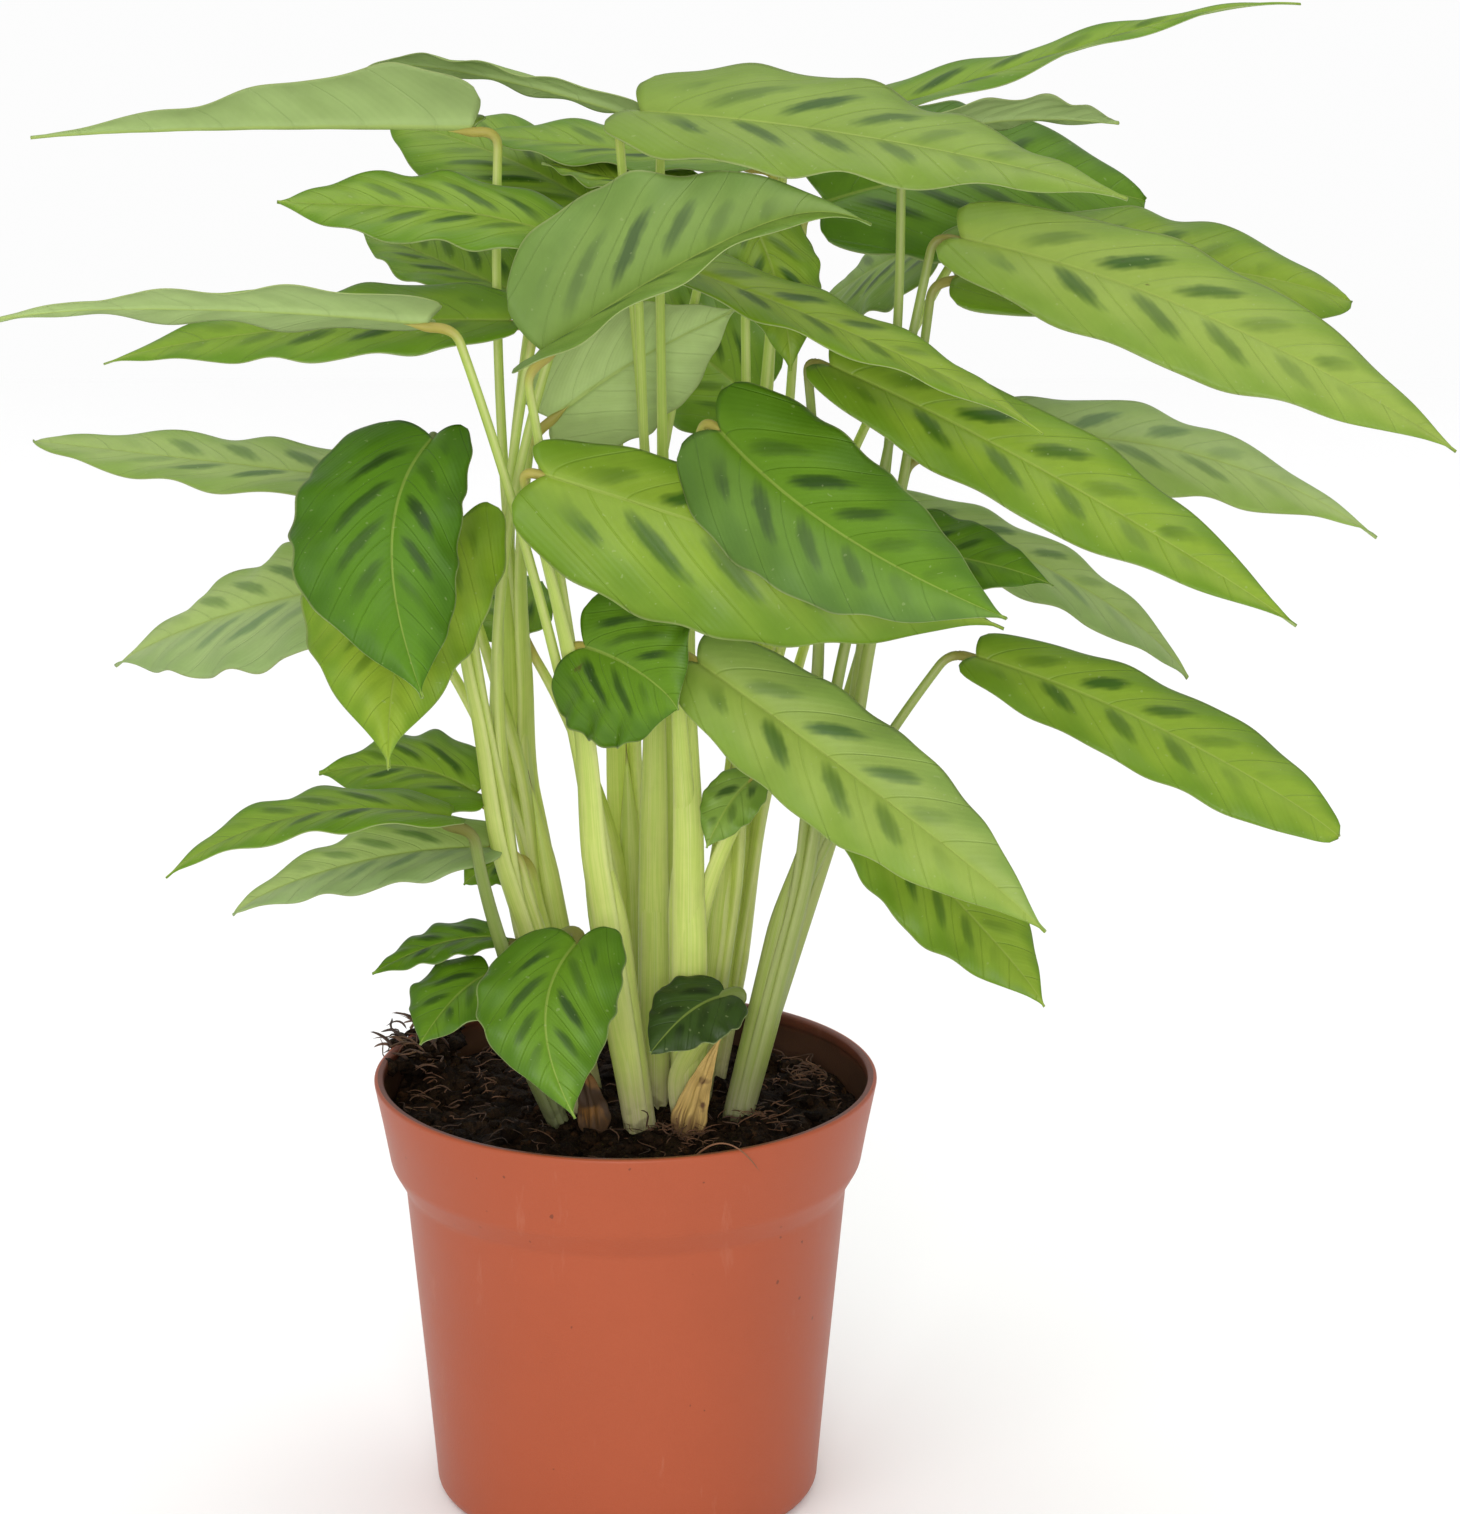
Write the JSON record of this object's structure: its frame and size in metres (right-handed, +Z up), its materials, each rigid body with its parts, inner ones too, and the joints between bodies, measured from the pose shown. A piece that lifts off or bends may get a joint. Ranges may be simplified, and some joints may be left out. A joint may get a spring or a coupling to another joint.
{
  "type": "potted calathea",
  "caption": "Potted calathea: lance-shaped patterned leaves on tall stalks, growing in peat in a plain round nursery pot.",
  "frame": {"origin": "centre of the pot's underside", "axes": "+Z up along the pot's axis, -Y towards the fuller side of the foliage, +X to the right seen from there"},
  "size_m": [0.3865, 0.2216, 0.4217],
  "materials": {
    "terracotta_plastic": "satin terracotta-coloured plastic",
    "peat_soil": "damp fibrous peat",
    "green_stalk": "satin pale green stalk",
    "green_blade": "satin patterned leaf",
    "papery_sheath": "dry papery sheath"
  },
  "bodies": {
    "root": {"pot": "terracotta_plastic", "soil": "peat_soil", "shoot_left": "green_stalk", "shoot_front": "green_stalk", "shoot_centre": "green_stalk", "shoot_right": "green_stalk", "shoot_far_right": "green_stalk", "shoot_middle": "green_stalk", "shoot_inner": "green_stalk", "shoot_back_left": "green_stalk", "shoot_back": "green_stalk", "shoot_back_right": "green_stalk", "shoot_low_left": "green_stalk", "leaf_01": "green_blade", "leaf_02": "green_blade", "leaf_03": "green_blade", "leaf_04": "green_blade", "leaf_05": "green_blade", "leaf_06": "green_blade", "leaf_07": "green_blade", "leaf_08": "green_blade", "leaf_09": "green_blade", "leaf_10": "green_blade", "leaf_11": "green_blade", "leaf_12": "green_blade", "leaf_13": "green_blade", "leaf_14": "green_blade", "leaf_15": "green_blade", "leaf_16": "green_blade", "leaf_17": "green_blade", "leaf_18": "green_blade", "leaf_19": "green_blade", "leaf_20": "green_blade", "leaf_21": "green_blade", "leaf_22": "green_blade", "leaf_23": "green_blade", "leaf_24": "green_blade", "leaf_25": "green_blade", "leaf_26": "green_blade", "leaf_27": "green_blade", "leaf_28": "green_blade", "leaf_29": "green_blade", "leaf_30": "green_blade", "leaf_31": "green_blade", "leaf_32": "green_blade", "leaf_33": "green_blade", "leaf_34": "green_blade", "leaf_35": "green_blade", "leaf_37": "green_blade", "leaf_38": "green_blade", "leaf_39": "green_blade", "leaf_40": "green_blade", "leaf_41": "green_blade", "leaf_42": "green_blade", "leaf_43": "green_blade", "leaf_44": "green_blade", "leaf_45": "green_blade", "leaf_46": "green_blade", "dry_sheath": "papery_sheath", "brown_sheath": "papery_sheath"}
  },
  "joints": []
}
